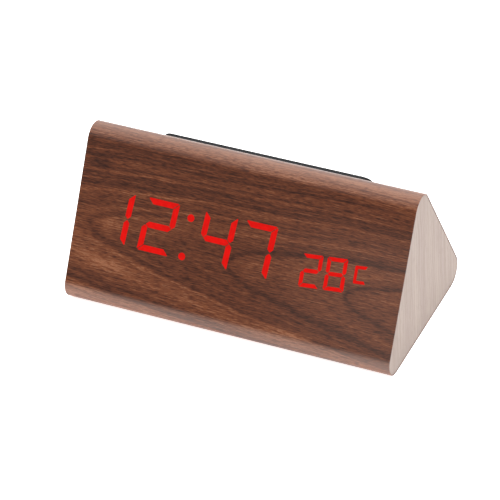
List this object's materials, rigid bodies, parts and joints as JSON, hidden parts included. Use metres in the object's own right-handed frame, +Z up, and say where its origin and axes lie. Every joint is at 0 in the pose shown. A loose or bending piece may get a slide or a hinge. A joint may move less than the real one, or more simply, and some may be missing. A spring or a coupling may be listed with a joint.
{
  "type": "digital desk clock",
  "caption": "Three-sided wood-look LED desk clock with lit red figures on its sloping front and a black battery and control panel on its back.",
  "frame": {"origin": "middle of the clock's footprint, on the surface it stands on", "axes": "+X along the clock to the right as seen from the display side, -Y towards the reader, +Z up"},
  "size_m": [0.15, 0.077, 0.0687],
  "materials": {
    "walnut_film": "printed walnut-look film, satin",
    "pale_veneer": "pale maple-look skin, satin",
    "fibreboard": "medium-density fibreboard, raw",
    "white_moulding": "white light-box moulding",
    "lit_red": "red light guide, lit",
    "dark_guide": "clear light guide, unlit",
    "circuit_board": "green solder mask",
    "lamp": "moulded lamp",
    "chip_black": "black moulding compound",
    "connector_white": "off-white connector",
    "screw_steel": "zinc-plated",
    "screw_black": "blackened steel",
    "ribbon_grey": "grey flat cable",
    "black_moulding": "fine-textured black moulding",
    "cell_sleeve": "printed cell sleeve",
    "contact_nickel": "nickel-plated",
    "lead_insulation": "insulated wire",
    "can_metal": "drawn can",
    "capacitor_sleeve": "shrunk sleeve",
    "thermistor_bead": "dipped bead",
    "jack_black": "power inlet",
    "button_black": "moulded button",
    "plunger_plastic": "switch plunger"
  },
  "bodies": {
    "case": {"front_board": "fibreboard", "back_board": "fibreboard", "base_board": "fibreboard", "left_end_board": "fibreboard", "right_end_board": "fibreboard", "wrap_film": "walnut_film", "base_film": "walnut_film", "left_end_veneer": "pale_veneer", "right_end_veneer": "pale_veneer", "display_reflector": "white_moulding", "lit_time_segments": "lit_red", "lit_colon_dots": "lit_red", "lit_temperature_segments": "lit_red", "unlit_segments": "dark_guide", "display_pcb": "circuit_board", "segment_leds": "lamp", "display_driver": "chip_black", "display_connector": "connector_white", "display_screws": "screw_steel", "ribbon_cable": "ribbon_grey", "back_panel": "black_moulding", "battery_cell_1": "cell_sleeve", "battery_cell_2": "cell_sleeve", "battery_cell_3": "cell_sleeve", "battery_cell_4": "cell_sleeve", "contact_plates": "contact_nickel", "contact_springs": "contact_nickel", "battery_leads": "lead_insulation", "panel_screws": "screw_black", "pcb_screws": "screw_steel", "main_pcb": "circuit_board", "controller_chip": "chip_black", "crystal": "can_metal", "capacitors": "capacitor_sleeve", "thermistor": "thermistor_bead", "main_connector": "connector_white", "switch_bodies": "chip_black", "buzzer": "chip_black", "microphone": "can_metal", "dc_jack": "jack_black"},
    "door": {"battery_door": "black_moulding"},
    "set_key": {"set_button": "button_black", "set_plunger": "plunger_plastic"},
    "up_key": {"up_button": "button_black", "up_plunger": "plunger_plastic"},
    "down_key": {"down_button": "button_black", "down_plunger": "plunger_plastic"}
  },
  "joints": [
    {"name": "door_swing", "type": "hinge", "parent": "case", "child": "door", "pos_m": [0.014, 0.03643, 0.02011], "axis": [-1, 0, 0], "range_deg": [0, 75]},
    {"name": "set_press", "type": "slide", "parent": "case", "child": "set_key", "axis": [0, -0.866, -0.5], "range_m": [0, 0.0005], "stiffness_N_per_m": 1500, "springref_m": -0.0001},
    {"name": "up_press", "type": "slide", "parent": "case", "child": "up_key", "axis": [0, -0.866, -0.5], "range_m": [0, 0.0005], "stiffness_N_per_m": 1500, "springref_m": -0.0001},
    {"name": "down_press", "type": "slide", "parent": "case", "child": "down_key", "axis": [0, -0.866, -0.5], "range_m": [0, 0.0005], "stiffness_N_per_m": 1500, "springref_m": -0.0001}
  ]
}
